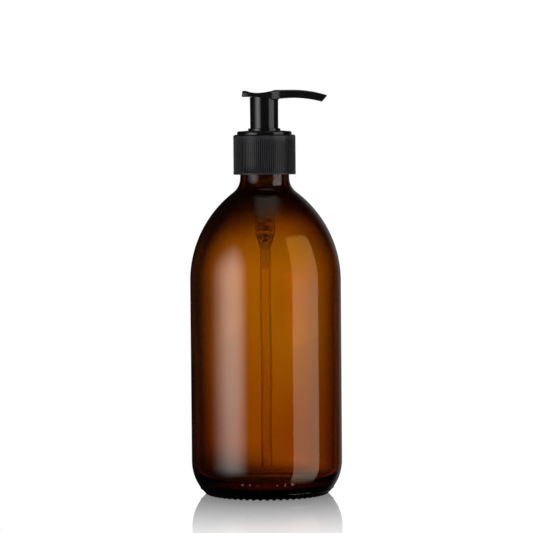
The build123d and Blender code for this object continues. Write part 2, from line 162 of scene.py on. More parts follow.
@labelled
class ClosureSettings(PropertyGroup):
    """Sizes and colour of the ribbed closure."""

    bore_radius: length("Inside radius of the skirt", 0.0141)
    hole_radius: length("Radius of the hole in the deck", 0.0105)
    deck: length("Thickness of the deck", 0.0016)
    edge_round: length("Rounding of the top edge", 0.0011)
    rib_count: count("Ribs round the skirt", 95, 3)
    rib_height: length("How far a rib stands out", 0.0003)
    rib_width: length("Width of a rib at its root", 0.0005)
    band: length("Plain band under the ribs", 0.0008)
    thread_depth: length("Height of the thread inside the skirt", 0.0005)
    tint: colour("Satin black of the closure", (0.0016, 0.0015, 0.002))
    # Painted light and shade: the ribs' crests are painted lighter than the grooves, which keep the
    # darker tint as painted shade
    painted_crest_tint: colour("Rubbed black of the ribs' crests", (0.0235, 0.023, 0.0258))


@labelled
class PumpSettings(PropertyGroup):
    """Finishes of the pump and sizes of its spring."""

    head_tint: colour("Gloss black of the head and collar", (0.0042, 0.0042, 0.0044))
    clear_tint: colour("Clear plastic of the dip tube", (0.99, 0.935, 0.87))
    hazy_tint: colour("Hazy plastic of the pump's housing and stem", (1.0, 0.97, 0.93))
    gasket_tint: colour("Foamed white gasket", (0.72, 0.71, 0.68))
    steel_tint: colour("Drawn steel wire and ball", (0.44, 0.43, 0.42))
    wire: length("Diameter of the spring's wire", 0.0008)
    spring_diameter: length("Outside diameter of the spring", 0.0072)
    spring_turns: count("Turns of wire", 8, 3)
    end_pitch: length("Pitch of the closed end turns", 0.0013)


@labelled
class StageSettings(PropertyGroup):
    """Camera, light boxes, surroundings and floor."""

    camera_distance: length("Distance from the bottle's axis", 1.3)
    camera_height: length("Height of the lens", 0.175)
    camera_side: length("Place of the lens along X", 0.00055)
    aim_height: length("Height of the point looked at", 0.1141)
    lens: share("Focal length in millimetres", 175.3, 1000.0)
    roll: turn("Turn of the camera about its line of sight", 0.47)
    left_light: share("Brightness of the broad box on the left", 4.2, 50.0)
    right_light: share("Brightness of the narrow box on the right", 2.0, 50.0)
    rear_light: share("Brightness of the box overhead and behind", 2.0, 50.0)
    rim_light: share("Brightness of the box behind on the right", 0.17, 50.0)
    top_light: share("Brightness of the box overhead", 0.42, 50.0)
    studio: share("Dim surroundings that glossy surfaces mirror", 0.01)
    backdrop_full: share("Upward slope up to which glass shows white", 0.05)
    backdrop_end: share("Upward slope where the backdrop has ended", 0.35)
    ceiling: share("Brightness above the backdrop", 0.3)
    ambient: share("Soft light from all round", 0.6)
    mirror_start: length("Where the floor mirrors most", 0.03)
    mirror_end: length("Where the floor stops mirroring", 0.175)


# Meshes

THREAD_FLANK = (0.25, 1.0)


def arc_points(centre, radius, start, end, steps):
    """Points of a circular arc in an outline, its angles in degrees."""
    points = []
    for step in range(steps + 1):
        angle = math.radians(start + (end - start) * step / steps)
        points.append((centre[0] + radius * math.cos(angle), centre[1] + radius * math.sin(angle)))
    return points


def dome_points(edge, rise, height, steps):
    """Points of a shallow dome in an outline, from its middle on the axis out to its edge."""
    radius = (edge**2 + rise**2) / (2.0 * rise)
    swing = math.degrees(math.asin(edge / radius))
    return arc_points((0.0, height + rise - radius), radius, 90.0, 90.0 - swing, steps)


def line_points(start, end, steps):
    """Points between two points of an outline, both ends left out."""
    points = []
    for step in range(1, steps):
        part = step / steps
        points.append(tuple(a + (b - a) * part for a, b in zip(start, end)))
    return points


def smooth_step(value, span):
    """Rises from 0 at the span's start to 1 at its end, level at both."""
    part = min(max((value - span[0]) / (span[1] - span[0]), 0.0), 1.0)
    return part * part * (3.0 - 2.0 * part)


def thread_ridge(height, angle, start, pitch, turns, fade, half_width):
    """Share of a thread's full height at a place; it fades in and out at the thread's ends."""
    ridge = 0.0
    for whole in range(math.ceil(turns)):
        along = angle / FULL_TURN + whole
        centre = start + pitch * along
        ends = smooth_step(along, (0.0, fade)) * smooth_step(turns - along, (0.0, fade))
        crest = 1.0 - smooth_step(abs(height - centre) / half_width, THREAD_FLANK)
        ridge = max(ridge, crest * ends)
    return ridge


def smooth_mesh(name, vertices, faces):
    """A mesh that is shaded smoothly."""
    mesh = bpy.data.meshes.new(name)
    mesh.from_pydata(vertices, [], faces)
    mesh.shade_smooth()
    return mesh


def band_faces(rings):
    """Faces between neighbouring rings of vertices, with corners that fall together left out."""
    faces = []
    for lower, upper in zip(rings, rings[1:]):
        for step in range(len(lower)):
            following = (step + 1) % len(lower)
            corners = [lower[step], lower[following], upper[following], upper[step]]
            faces.append([c for at, c in enumerate(corners) if c not in corners[:at]])
    return faces


def turned_mesh(name, outline, segments, relief, loop=False):
    """An outline of (radius, height) points turned about Z, either a loop or ending on the axis.

    relief(index, radius, height, angle) gives the moved radius and height of a point.
    """
    vertices = []
    rings = []
    for index, (radius, height) in enumerate(outline):
        if radius < AXIS_RADIUS:
            rings.append([len(vertices)] * segments)
            vertices.append((0.0, 0.0, height))
            continue
        ring = []
        for step in range(segments):
            angle = FULL_TURN * step / segments
            r, z = relief(index, radius, height, angle)
            ring.append(len(vertices))
            vertices.append((r * math.cos(angle), r * math.sin(angle), z))
        rings.append(ring)
    if loop:
        rings.append(rings[0])
    mesh = smooth_mesh(name, vertices, band_faces(rings))
    mesh.validate()
    return mesh


def placed(name, data):
    """A new object in the scene, at the origin."""
    item = bpy.data.objects.new(name, data)
    bpy.context.scene.collection.objects.link(item)
    return item


def dress(mesh, material):
    """Gives a mesh one material."""
    mesh.materials.clear()
    mesh.materials.append(material)


def new_piece(name, mesh, material):
    """A piece of the object, at the origin, with one material."""
    dress(mesh, material)
    return placed(name, mesh)


def dress_nodes(names, material):
    """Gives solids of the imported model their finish."""
    for name in names:
        dress(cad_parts[name].data, material)


# Nodes


def add_node(tree, kind, inputs=None, **settings):
    """A node with its settings, and its inputs either set or linked."""
    node = tree.nodes.new(kind)
    for name, value in settings.items():
        setattr(node, name, value)
    for key, value in (inputs or {}).items():
        if isinstance(value, bpy.types.NodeSocket):
            tree.links.new(value, node.inputs[key])
        else:
            node.inputs[key].default_value = value
    return node


def cleared_tree(owner):
    """The emptied node tree of a material, light or world."""
    owner.use_nodes = True
    owner.node_tree.nodes.clear()
    return owner.node_tree


def object_place(tree):
    """Places on the piece itself."""
    return add_node(tree, "ShaderNodeTexCoord").outputs["Object"]


def facing_away(tree):
    """How far the surface turns from the line of sight: 0 face-on, 1 edge-on."""
    return add_node(tree, "ShaderNodeLayerWeight", {"Blend": 0.5}).outputs["Facing"]


def split(tree, vector):
    """The X, Y and Z of a vector."""
    return add_node(tree, "ShaderNodeSeparateXYZ", {0: vector}).outputs


def vector_length(tree, vector):
    """The length of a vector."""
    node = add_node(tree, "ShaderNodeVectorMath", {0: vector}, operation="LENGTH")
    return node.outputs["Value"]


def maths(tree, operation, *values):
    """The result of a Math node on values that are sockets or numbers."""
    node = add_node(tree, "ShaderNodeMath", dict(enumerate(values)), operation=operation)
    return node.outputs[0]


def times(tree, first, *others):
    """The product of values, each a socket or a number."""
    for other in others:
        first = maths(tree, "MULTIPLY", first, other)
    return first


def spread(tree, value, span, reach=RISING, kind="LINEAR"):
    """A value taken evenly from a span to a reach, and held at the reach's ends."""
    ends = {"From Min": span[0], "From Max": span[1], "To Min": reach[0], "To Max": reach[1]}
    node = add_node(tree, "ShaderNodeMapRange", {"Value": value, **ends}, interpolation_type=kind)
    return node.outputs["Result"]


def eased(tree, value, span, reach=RISING):
    """As spread, but level at both ends."""
    return spread(tree, value, span, reach, "SMOOTHSTEP")


def window(tree, value, rise, fall):
    """Rises from 0 to 1 over one span and falls back over another."""
    return times(tree, eased(tree, value, rise), eased(tree, value, fall, FALLING))


def mixed(tree, factor, first, second):
    """A value between two values, each a socket or a number."""
    node = add_node(tree, "ShaderNodeMix", {0: factor, 2: first, 3: second}, data_type="FLOAT")
    return node.outputs[0]


def blended(tree, factor, first, second):
    """A colour between two colours, each a socket or a colour."""
    node = add_node(tree, "ShaderNodeMix", {0: factor, 6: first, 7: second}, data_type="RGBA")
    return node.outputs[2]


# Materials

MARK_SPAN = (0.52, 0.72)
MARK_STRETCH = (1.0, 1.0, 0.12)
PLASTIC_CLOUD = 140.0
PLASTIC_MARKS = 90.0
PLASTIC_SHADES = (0.8, 1.25)
PLASTIC_BUMP = 0.5
NATURAL_SCALES = (2500.0, 200.0, 120.0)
NATURAL_BUMP = ("Grain", 0.3, 0.00002)
NATURAL_INDEX = 1.3
NATURAL_EDGE = (0.25, 0.7)
STEEL_SCALES = (5000.0, 400.0, 600.0)
STEEL_BUMP = ("Marks", 0.3, 0.00002)
STEEL_SHADES = (0.8, 1.15)
STEEL_ROUGHNESS = (0.2, 0.38)
GLASS_SCALES = (900.0, 60.0, 45.0)
GLASS_BUMP = ("Cloud", 0.1, 0.0002)
GLASS_INDEX = 1.5
GLASS_WEAR = 1.6

# Spans over which the glass's painted shade and painted reflection tints change: along X, up Z, or
# from face-on to edge-on

SIDE_SPAN = (-0.015, 0.015)
THROAT_SPAN = (0.148, 0.156)
SHOULDER_SHEEN_RISE = (0.098, 0.125)
SHOULDER_SHEEN_FALL = (0.138, 0.15)
LEFT_EDGE_SPAN = (0.06, 0.68)
RIGHT_EDGE_SPAN = (0.752, 0.148)
EDGE_SHADE = 0.02
BODY_SPAN = (0.095, 0.113)
SHOULDER_SPAN = (0.113, 0.125)
LEFT_SLOPE = (0.124, 0.152)
RIGHT_SLOPE = (0.134, 0.149)
NECK_SPAN = (0.1455, 0.1505)
NECK_EDGE = (0.08, 0.33)
NECK_PAINTED_LIGHT = (1.85, 0.65)
HEEL_SHADE_TILT = 0.25
HEEL_SPAN = (0.005, 0.02)


def rgba(tint):
    """A colour setting with full alpha."""
    return (tint[0], tint[1], tint[2], 1.0)


def scaled(tint, factor):
    """A colour made lighter or darker, with full alpha."""
    return (tint[0] * factor, tint[1] * factor, tint[2] * factor, 1.0)


def moulded_surface_group():
    """Grain, cloudiness and handling marks that every moulded or drawn surface has."""
    if "moulded_surface" in bpy.data.node_groups:
        return bpy.data.node_groups["moulded_surface"]
    group = bpy.data.node_groups.new("moulded_surface", "ShaderNodeTree")
    for layer in ("Grain", "Cloud", "Marks"):
        scale = layer + " Scale"
        group.interface.new_socket(scale, in_out="INPUT", socket_type="NodeSocketFloat")
        group.interface.new_socket(layer, in_out="OUTPUT", socket_type="NodeSocketFloat")
    given = add_node(group, "NodeGroupInput").outputs
    place = object_place(group)
    drawn = add_node(group, "ShaderNodeMapping", {"Vector": place, "Scale": MARK_STRETCH})
    noises = {
        "Grain": {"Vector": place, "Detail": 2.0},
        "Cloud": {"Vector": place, "Detail": 4.0},
        "Marks": {"Vector": drawn.outputs["Vector"], "Detail": 6.0, "Roughness": 0.7},
    }
    layers = {}
    for layer, inputs in noises.items():
        inputs["Scale"] = given[layer + " Scale"]
        layers[layer] = add_node(group, "ShaderNodeTexNoise", inputs).outputs["Fac"]
    layers["Marks"] = spread(group, layers["Marks"], MARK_SPAN)
    add_node(group, "NodeGroupOutput", layers)
    return group


def new_material(name, values, scales):
    """A material with its tree, its Principled shader with plain values, and its surface layers.

    scales are those of the surface's grain, cloud and marks.
    """
    material = bpy.data.materials.new(name)
    tree = cleared_tree(material)
    shader = add_node(tree, "ShaderNodeBsdfPrincipled", values)
    add_node(tree, "ShaderNodeOutputMaterial", {"Surface": shader.outputs["BSDF"]})
    surface = add_node(tree, "ShaderNodeGroup", node_tree=moulded_surface_group())
    for socket, scale in zip(surface.inputs, scales):
        socket.default_value = scale
    return material, tree, shader, surface.outputs


def link_finish(tree, shader, surface, base, roughness, bump):
    """Links a finish's colour, its roughness by the handling marks and the bump of one layer.

    bump is the layer's name, its strength and its depth.
    """
    layer, strength, distance = bump
    relief = {"Height": surface[layer], "Strength": strength, "Distance": distance}
    links = {
        "Base Color": base,
        "Roughness": spread(tree, surface["Marks"], RISING, roughness),
        "Normal": add_node(tree, "ShaderNodeBump", relief).outputs["Normal"],
    }
    for name, value in links.items():
        tree.links.new(value, shader.inputs[name])


def cloudy(tree, surface, tint, shades):
    """A colour that wavers between two shades of a tint."""
    return blended(tree, surface["Cloud"], scaled(tint, shades[0]), scaled(tint, shades[1]))


def moulded_plastic(name, tint, roughness, grain_depth, grain, gloss=0.5):
    """Opaque moulded plastic with cloudy colour, fine grain and faint handling marks."""
    scales = (grain, PLASTIC_CLOUD, PLASTIC_MARKS)
    material, tree, shader, surface = new_material(name, {"Specular IOR Level": gloss}, scales)
    base = cloudy(tree, surface, tint, PLASTIC_SHADES)
    bump = ("Grain", PLASTIC_BUMP, grain_depth)
    link_finish(tree, shader, surface, base, roughness, bump)
    return material


def natural_plastic(name, tint, roughness, edge_shade, clearness):
    """Unpigmented plastic that light passes through, with painted shade where it is seen edge-on.
    """
    values = {"Transmission Weight": clearness, "IOR": NATURAL_INDEX}
    material, tree, shader, surface = new_material(name, values, NATURAL_SCALES)
    edge = eased(tree, facing_away(tree), NATURAL_EDGE)
    base = blended(tree, edge, rgba(tint), scaled(tint, edge_shade))
    link_finish(tree, shader, surface, base, roughness, NATURAL_BUMP)
    return material


def drawn_steel(tint):
    """Bright drawn steel with fine marks."""
    values = {"Metallic": 1.0}
    material, tree, shader, surface = new_material("drawn_steel", values, STEEL_SCALES)
    base = cloudy(tree, surface, tint, STEEL_SHADES)
    link_finish(tree, shader, surface, base, STEEL_ROUGHNESS, STEEL_BUMP)
    return material


def amber_glass(settings):
    """Amber glass: tinted through its depth, with painted shade edge-on, on the lower body, at the
    shoulder, at the neck and at the heel, and painted light in the middle of the neck.

    The painted shade and the painted tint of what it mirrors change with height and side.
    """
    values = {"Transmission Weight": 1.0, "IOR": GLASS_INDEX}
    material, tree, shader, surface = new_material("amber_glass", values, GLASS_SCALES)
    facing = facing_away(tree)
    place = split(tree, object_place(tree))
    height = place["Z"]
    side = eased(tree, place["X"], SIDE_SPAN)
    throat = eased(tree, height, THROAT_SPAN)
    # Painted reflection: what the glass mirrors is tinted one way on the -X side and another on the
    # +X side, amber on the +X shoulder and dimmed on the neck's -X side
    left_sheen_paint = blended(tree, throat, rgba(settings.painted_left_sheen), rgba(settings.painted_neck_left_sheen))
    shoulder_sheen_band = window(tree, height, SHOULDER_SHEEN_RISE, SHOULDER_SHEEN_FALL)
    right_sheen_paint = blended(tree, shoulder_sheen_band, rgba(settings.painted_right_sheen), rgba(settings.painted_shoulder_sheen))
    right_sheen_paint = blended(tree, throat, right_sheen_paint, rgba(settings.painted_neck_right_sheen))
    tree.links.new(blended(tree, side, left_sheen_paint, right_sheen_paint), shader.inputs["Specular Tint"])
    # Painted shade: darker edge-on, more on the -X side than on the +X side
    left_edge_shade = eased(tree, facing, LEFT_EDGE_SPAN, (1.0, EDGE_SHADE))
    right_edge_shade = spread(tree, facing, RIGHT_EDGE_SPAN, (EDGE_SHADE, 1.0))
    edge = mixed(tree, side, left_edge_shade, right_edge_shade)
    # Painted shade on the lower body, the shoulder and the neck's slope, which starts lower on the
    # -X side
    body = eased(tree, height, BODY_SPAN, (settings.body_shade, 1.0))
    shoulder = eased(tree, height, SHOULDER_SPAN, (1.0, settings.shoulder_shade))
    left_slope = eased(tree, height, LEFT_SLOPE, (1.0, settings.neck_shade))
    right_slope = eased(tree, height, RIGHT_SLOPE, (1.0, settings.neck_shade))
    painted_slope_shade = mixed(tree, side, left_slope, right_slope)
    # Painted light in the middle of the neck and painted shade at its sides, from its fillet up
    neck_edge = eased(tree, facing, NECK_EDGE, NECK_PAINTED_LIGHT)
    neck = mixed(tree, eased(tree, height, NECK_SPAN), 1.0, neck_edge)
    # Painted shade on the heel, reaching higher on the -X side
    tilted_height = maths(tree, "MULTIPLY_ADD", place["X"], HEEL_SHADE_TILT, height)
    painted_heel_shade = eased(tree, tilted_height, HEEL_SPAN, (settings.heel_shade, 1.0))
    clear = times(tree, edge, body, shoulder, painted_slope_shade, neck, painted_heel_shade)
    base = add_node(tree, "ShaderNodeCombineColor", {"Red": clear, "Green": clear, "Blue": clear})
    roughness = (settings.roughness, settings.roughness * GLASS_WEAR)
    link_finish(tree, shader, surface, base.outputs[0], roughness, GLASS_BUMP)
    absorbed = {"Color": rgba(settings.tint), "Density": settings.density}
    depth = add_node(tree, "ShaderNodeVolumeAbsorption", absorbed).outputs["Volume"]
    output = shader.outputs["BSDF"].links[0].to_node
    tree.links.new(depth, output.inputs["Volume"])
    return material


# Bottle

BOTTLE_SEGMENTS = 336
PUNT_STEPS = 12
FOOT_STEPS = 6
HEEL_STEPS = 44
RIM_STEPS = 5
DOME_STEPS = 14
INNER_HEEL_STEPS = 20
OUTER_STEPS = {"body": 14, "shoulder": 36, "fillet": 12, "neck": 48}
INNER_STEPS = {"body": 24, "shoulder": 30, "fillet": 10, "neck": 6}
FROM_AXIS = (0.0, 0.02)
BASE_SWELL_FALL = (0.085, 0.02)
NECK_SWELL_RISE = (0.122, 0.15)
NECK_SWELL_FALL = (0.16, 0.152)
THREAD_FADE = 0.12
THREAD_SHARE = 0.28
RIPPLE_GAP = 0.004
SEAM_FOOT = 0.004
SEAM_WIDTH = 0.0008
BEAD_PLACE = 0.003
BEAD_WIDTH = 0.0006
DOT_PLACE = 0.0078
DOT_REACH = (0.0002, 0.0015)
DOT_TURN = 0.11
DOT_PLACES = range(-3, 4)
NOTCH_FALL = (0.0028, 0.0006)
NOTCH_START = 0.0002
NOTCH_FULL = 0.0012

# Waves of the inside wall: how many round the bottle, their slant and their shift

RIPPLE_WAVES = ((3, 60.0, 0.0), (5, -95.0, 1.3))


def upper_points(sizes, top, foot, radii, inward, steps):
    """Outline points from the heel's end up the body and over shoulder, neck and rim.

    radii are those of the body, the shoulder's arc, the fillet at the neck and the neck itself;
    inward is -1 for the outside of the glass and 1 for its inside.
    """
    body, shoulder, fillet, throat = radii
    neck_foot = top - sizes.neck_length
    rim = top - sizes.rim_round
    shoulder_x = body - shoulder
    fillet_x = throat + fillet
    rise = math.sqrt((shoulder + fillet) ** 2 - (fillet_x - shoulder_x) ** 2)
    swing = math.degrees(math.atan2(rise, fillet_x - shoulder_x))
    centre = (shoulder_x, neck_foot - rise)
    fillet_centre = (fillet_x, neck_foot)
    arcs = arc_points(centre, shoulder, 0.0, swing, steps["shoulder"])
    arcs += arc_points(fillet_centre, fillet, 180.0 + swing, 180.0, steps["fillet"])[1:]
    points = line_points(foot, arcs[0], steps["body"]) + arcs
    points += line_points(points[-1], (throat, rim), steps["neck"])
    rim_centre = (throat + inward * sizes.rim_round, rim)
    return points + arc_points(rim_centre, sizes.rim_round, 90.0 + 90.0 * inward, 90.0, RIM_STEPS)


def bottle_outside(sizes, body, top):
    """Outline of the glass from the middle of the base up to the rim."""
    foot_outer = body - sizes.heel_inset
    foot_inner = foot_outer - sizes.foot_width
    heel_x = body - sizes.heel_radius
    heel_reach = sizes.heel_radius - sizes.foot_radius
    heel_rise = math.sqrt(heel_reach**2 - (foot_outer - heel_x) ** 2)
    heel_turn = math.degrees(math.asin(heel_rise / heel_reach))
    heel_centre = (heel_x, sizes.foot_radius + heel_rise)
    foot_centre = (foot_outer, sizes.foot_radius)
    points = dome_points(foot_inner, sizes.punt_depth, 0.0, PUNT_STEPS)
    points += line_points((foot_inner, 0.0), (foot_outer, 0.0), FOOT_STEPS)
    points += arc_points(foot_centre, sizes.foot_radius, -90.0, -heel_turn, FOOT_STEPS)
    points += arc_points(heel_centre, sizes.heel_radius, -heel_turn, 0.0, HEEL_STEPS)[1:]
    radii = (body, sizes.shoulder_radius, sizes.neck_fillet, sizes.neck_radius)
    return points + upper_points(sizes, top, points[-1], radii, -1, OUTER_STEPS)


def bottle_inside(sizes, body, top):
    """Outline of the glass from the rim down to the middle of the inside floor."""
    inner = body - sizes.wall
    floor_edge = inner - sizes.inner_heel
    heel_centre = (floor_edge, sizes.floor_height + sizes.inner_heel)
    points = dome_points(floor_edge, sizes.floor_dome, sizes.floor_height, DOME_STEPS)
    points += arc_points(heel_centre, sizes.inner_heel, -90.0, 0.0, INNER_HEEL_STEPS)[1:]
    fillet = sizes.neck_fillet + (sizes.neck_radius - sizes.neck_bore)
    radii = (inner, sizes.shoulder_radius - sizes.wall, fillet, sizes.neck_bore)
    points += upper_points(sizes, top, points[-1], radii, 1, INNER_STEPS)
    swollen = []
    for radius, height in points:
        base = sizes.base_swell * smooth_step(height, BASE_SWELL_FALL)
        below_neck = smooth_step(height, NECK_SWELL_RISE) * smooth_step(height, NECK_SWELL_FALL)
        inward = (base + sizes.shoulder_swell * below_neck) * smooth_step(radius, FROM_AXIS)
        swollen.append((max(radius - inward, min(radius, sizes.neck_bore)), height))
    return swollen[::-1]


def heel_dots(height, angle, radius):
    """Share of the full height of a short row of plain mould dots, on the front and the back."""
    relief = 0.0
    for middle in (1.5 * math.pi, 0.5 * math.pi):
        for place in DOT_PLACES:
            away = (angle - middle - place * DOT_TURN) * radius
            distance = math.hypot(away, height - DOT_PLACE)
            relief = max(relief, 1.0 - smooth_step(distance, DOT_REACH))
    return relief


def build_bottle(sizes):
    """The glass bottle as one closed mesh with its thread, seams, dots and knurled foot."""
    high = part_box("bottle")[1]
    body = high.x
    top = high.z
    outside = bottle_outside(sizes, body, top)
    inside = bottle_inside(sizes, body, top)
    outside_count = len(outside)
    neck_foot = top - sizes.neck_length
    foot_inner = body - sizes.heel_inset - sizes.foot_width
    notch_rise = (foot_inner - NOTCH_START, foot_inner + NOTCH_FULL)
    pitch = sizes.thread_pitch
    thread = (sizes.thread_start, pitch, sizes.thread_turns, THREAD_FADE, THREAD_SHARE * pitch)

    def relief(index, radius, height, angle):
        if index >= outside_count:
            if height < neck_foot - RIPPLE_GAP:
                waves = (math.sin(n * angle + slant * height + at) for n, slant, at in RIPPLE_WAVES)
                radius += sizes.ripple * sum(waves) * smooth_step(radius, FROM_AXIS)
            return radius, height
        if height > neck_foot:
            return radius + sizes.thread_depth * thread_ridge(height, angle, *thread), height
        if height > SEAM_FOOT:
            seam = min(angle % math.pi, math.pi - angle % math.pi) * radius
            radius += sizes.seam_height * (1.0 - smooth_step(seam, (0.0, SEAM_WIDTH)))
        if radius > foot_inner:
            from_bead = abs(height - BEAD_PLACE)
            radius += sizes.bead_height * (1.0 - smooth_step(from_bead, (0.0, BEAD_WIDTH)))
        if abs(height - DOT_PLACE) < DOT_REACH[1]:
            radius += sizes.dot_height * heel_dots(height, angle, radius)
        tooth = 0.5 - 0.5 * math.cos(sizes.notch_count * angle)
        across = smooth_step(radius, notch_rise) * smooth_step(height, NOTCH_FALL)
        return radius, height + sizes.notch_depth * tooth * across

    mesh = turned_mesh("amber_bottle", outside + inside, BOTTLE_SEGMENTS, relief)
    return new_piece("amber_bottle", mesh, amber_glass(sizes))


class DISPENSER_OT_bottle(Operator):
    """Turn the glass bottle with its thread, mould marks and knurled foot"""

    bl_idname = "dispenser.bottle"
    bl_label = "Build Bottle"

    def execute(self, context):
        piece = build_bottle(context.scene.dispenser_bottle)
        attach(piece, "bottle")
        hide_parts("bottle")
        return {"FINISHED"}


# Closure

SATIN_BLACK = {"roughness": (0.2, 0.29), "grain_depth": 0.00002, "grain": 3500.0, "gloss": 0.19}
CLOSURE_SEGMENTS = 180
CORNER = 0.0002
CORNER_STEPS = 3
SKIRT_STEPS = 4
EDGE_STEPS = 8
DECK_STEPS = 5
BORE_STEPS = 60
CLOSURE_THREAD_START = 0.0035
CLOSURE_THREAD_TURNS = 2.4
CLOSURE_THREAD_FADE = 0.1
CLOSURE_THREAD_SHARE = 0.24
GROOVE_SHARE = 0.2
CREST_SHARE = 0.1
RIB_SINK = 0.00002
RIB_OVERLAP = 0.0003
RIB_TOP_SHARE = 0.75
RIB_STEPS = 13
RIB_SIDES = 14
RIB_END = (0.5, 0.45)
RIB_TAPER = (0.35, 1.0)
RIB_INPUTS = {
    "Skirt": "Geometry",
    "Rib Count": "Int",
    "Ring Radius": "Float",
    "Rib Height": "Float",
    "Rib Width": "Float",
    "Rib Bottom": "Float",
    "Rib Top": "Float",
    "Finish": "Material",
}


def rib_tree():
    """Geometry nodes that set ribs round the closure's skirt and join them to it."""
    tree = bpy.data.node_groups.new("closure_ribs", "GeometryNodeTree")
    for name, kind in RIB_INPUTS.items():
        tree.interface.new_socket(name, in_out="INPUT", socket_type="NodeSocket" + kind)
    tree.interface.new_socket("Closure", in_out="OUTPUT", socket_type="NodeSocketGeometry")
    given = add_node(tree, "NodeGroupInput").outputs

    def made(kind, inputs=None, **settings):
        return add_node(tree, kind, inputs, **settings).outputs[0]

    bottom = made("ShaderNodeCombineXYZ", {"Z": given["Rib Bottom"]})
    top = made("ShaderNodeCombineXYZ", {"Z": given["Rib Top"]})
    spine = made("GeometryNodeCurvePrimitiveLine", {"Start": bottom, "End": top})
    spine = made("GeometryNodeResampleCurve", {"Curve": spine, "Count": RIB_STEPS})
    along = add_node(tree, "GeometryNodeSplineParameter").outputs["Factor"]
    from_middle = maths(tree, "ABSOLUTE", maths(tree, "SUBTRACT", along, 0.5))
    taper = spread(tree, from_middle, RIB_END, RIB_TAPER)
    spine = made("GeometryNodeSetCurveRadius", {"Curve": spine, "Radius": taper})
    section = made("GeometryNodeCurvePrimitiveCircle", {"Resolution": RIB_SIDES, "Radius": 1.0})
    half_width = times(tree, given["Rib Width"], 0.5)
    scale = made("ShaderNodeCombineXYZ", {"X": given["Rib Height"], "Y": half_width, "Z": 1.0})
    section = made("GeometryNodeTransform", {"Geometry": section, "Scale": scale})
    sweep = {"Curve": spine, "Profile Curve": section, "Fill Caps": True}
    rib = made("GeometryNodeCurveToMesh", sweep)
    rib = made("GeometryNodeSetShadeSmooth", {"Geometry": rib})
    circle = {"Vertices": given["Rib Count"], "Radius": given["Ring Radius"]}
    ring = made("GeometryNodeMeshCircle", circle)
    place = made("GeometryNodeInputPosition")
    facing = made("FunctionNodeAlignRotationToVector", {"Vector": place}, axis="X", pivot_axis="Z")
    around = {"Points": ring, "Instance": rib, "Rotation": facing}
    ribs = made("GeometryNodeInstanceOnPoints", around)
    ribs = made("GeometryNodeRealizeInstances", {"Geometry": ribs})
    joined = add_node(tree, "GeometryNodeJoinGeometry")
    for shape in (ribs, given["Skirt"]):
        tree.links.new(shape, joined.inputs[0])
    dressed = {"Geometry": joined.outputs[0], "Material": given["Finish"]}
    add_node(tree, "NodeGroupOutput", {"Closure": made("GeometryNodeSetMaterial", dressed)})
    return tree


def made_by_nodes(name, mesh, tree, values, material):
    """A plain mesh piece from a mesh and a geometry node tree with named inputs."""
    source = placed(name + "_source", mesh)
    modifier = source.modifiers.new("nodes", "NODES")
    modifier.node_group = tree
    sockets = {item.name: item.identifier for item in tree.interface.items_tree}
    for key, value in values.items():
        modifier[sockets[key]] = value
    evaluated = source.evaluated_get(bpy.context.evaluated_depsgraph_get())
    result = bpy.data.meshes.new_from_object(evaluated)
    result.name = name
    source.modifiers.clear()
    bpy.data.objects.remove(source)
    return new_piece(name, result, material)


def paint_rib_shading(material, radii, tint):
    """Paints the crests of the ribs lighter than the grooves between them: painted shade in the
    grooves.
    """
    tree = material.node_tree
    shader = next(node for node in tree.nodes if node.type == "BSDF_PRINCIPLED")
    flattened = {0: object_place(tree), 1: (1.0, 1.0, 0.0)}
    level = add_node(tree, "ShaderNodeVectorMath", flattened, operation="MULTIPLY").outputs[0]
    crest = eased(tree, vector_length(tree, level), radii)
    grooved = shader.inputs["Base Color"].links[0].from_socket
    groove_shaded = blended(tree, crest, grooved, rgba(tint))
    tree.links.new(groove_shaded, shader.inputs["Base Color"])


